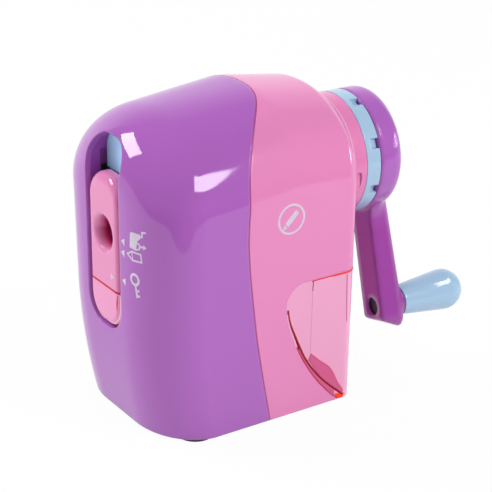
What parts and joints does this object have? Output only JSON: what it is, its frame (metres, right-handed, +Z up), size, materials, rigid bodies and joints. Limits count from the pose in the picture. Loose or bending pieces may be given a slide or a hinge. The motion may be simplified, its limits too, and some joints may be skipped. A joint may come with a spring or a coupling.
{
  "type": "pencil sharpener",
  "caption": "Hand-cranked desk pencil sharpener with a rounded casing, a sliding pencil-hole shutter, a clear shavings drawer, a removable cutter unit and a crank with a spinning knob.",
  "frame": {"origin": "on the table, under the middle of the overall width and length", "axes": "+Y from the pencil hole towards the crank knob, +Z up, +X across, on the side where the crank hangs"},
  "size_m": [0.0734, 0.1336, 0.1082],
  "materials": {
    "purple_plastic": "gloss moulded",
    "pink_plastic": "gloss moulded",
    "clear_pink_plastic": "clear tinted",
    "blue_plastic": "gloss moulded",
    "inner_plastic": "matte moulded",
    "steel": "machined",
    "bearing_bronze": "sintered",
    "rubber": "matte"
  },
  "bodies": {
    "housing": {"front_casing": "purple_plastic", "rear_casing": "pink_plastic", "base_plate": "inner_plastic", "base_screws": "steel", "feet": "rubber", "shutter_channel": "inner_plastic", "shutter_spring": "steel", "bulkhead": "inner_plastic", "shavings_chute": "inner_plastic"},
    "shutter": {"shutter_cap": "pink_plastic", "shutter_tail": "clear_pink_plastic"},
    "drawer": {"drawer": "clear_pink_plastic"},
    "cutter_unit": {"cutter_unit": "blue_plastic", "ring_gear": "steel", "shaft_bush": "bearing_bronze"},
    "crank": {"crank_arm": "purple_plastic", "crank_shaft": "steel", "shaft_screw": "steel", "thrust_washer": "steel", "cutter_carriage": "inner_plastic", "feed_drum": "blue_plastic", "drum_screws": "steel", "roller_pins": "steel", "cutter_axle": "steel", "knob_screw": "steel"},
    "cutter": {"helical_cutter": "steel", "cutter_pinion": "steel"},
    "knob": {"crank_knob": "blue_plastic"},
    "roller_1": {"feed_roller_1": "rubber"},
    "roller_2": {"feed_roller_2": "rubber"},
    "roller_3": {"feed_roller_3": "rubber"}
  },
  "joints": [
    {"name": "shutter_slide", "type": "slide", "parent": "housing", "child": "shutter", "axis": [0, 0, 1], "range_m": [0, 0.0115]},
    {"name": "drawer_slide", "type": "slide", "parent": "housing", "child": "drawer", "axis": [0, 1, 0], "range_m": [0, 0.0165]},
    {"name": "unit_lock", "type": "hinge", "parent": "housing", "child": "cutter_unit", "pos_m": [0, 0.016, 0.077], "axis": [0, 1, 0], "range_deg": [-30, 0]},
    {"name": "crank_turn", "type": "hinge", "parent": "cutter_unit", "child": "crank", "pos_m": [0, 0.03, 0.077], "axis": [0, 1, 0], "continuous": true},
    {"name": "cutter_spin", "type": "hinge", "parent": "crank", "child": "cutter", "pos_m": [0, 0.00405, 0.08259], "axis": [0, 0.9833, -0.1822], "continuous": true},
    {"name": "knob_spin", "type": "hinge", "parent": "crank", "child": "knob", "pos_m": [0.0138, 0.054, 0.0229], "axis": [0, 1, 0], "continuous": true},
    {"name": "roller_1_spin", "type": "hinge", "parent": "crank", "child": "roller_1", "pos_m": [0, -0.04872, 0.0851], "axis": [0.1045, -0.9945, 0], "continuous": true},
    {"name": "roller_2_spin", "type": "hinge", "parent": "crank", "child": "roller_2", "pos_m": [0.00701, -0.04872, 0.07295], "axis": [-0.0523, -0.9945, -0.0905], "continuous": true},
    {"name": "roller_3_spin", "type": "hinge", "parent": "crank", "child": "roller_3", "pos_m": [-0.00701, -0.04872, 0.07295], "axis": [-0.0523, -0.9945, 0.0905], "continuous": true}
  ],
  "couplings": [
    {"joint": "cutter_spin", "follows": "crank_turn", "ratio": -3.4}
  ]
}
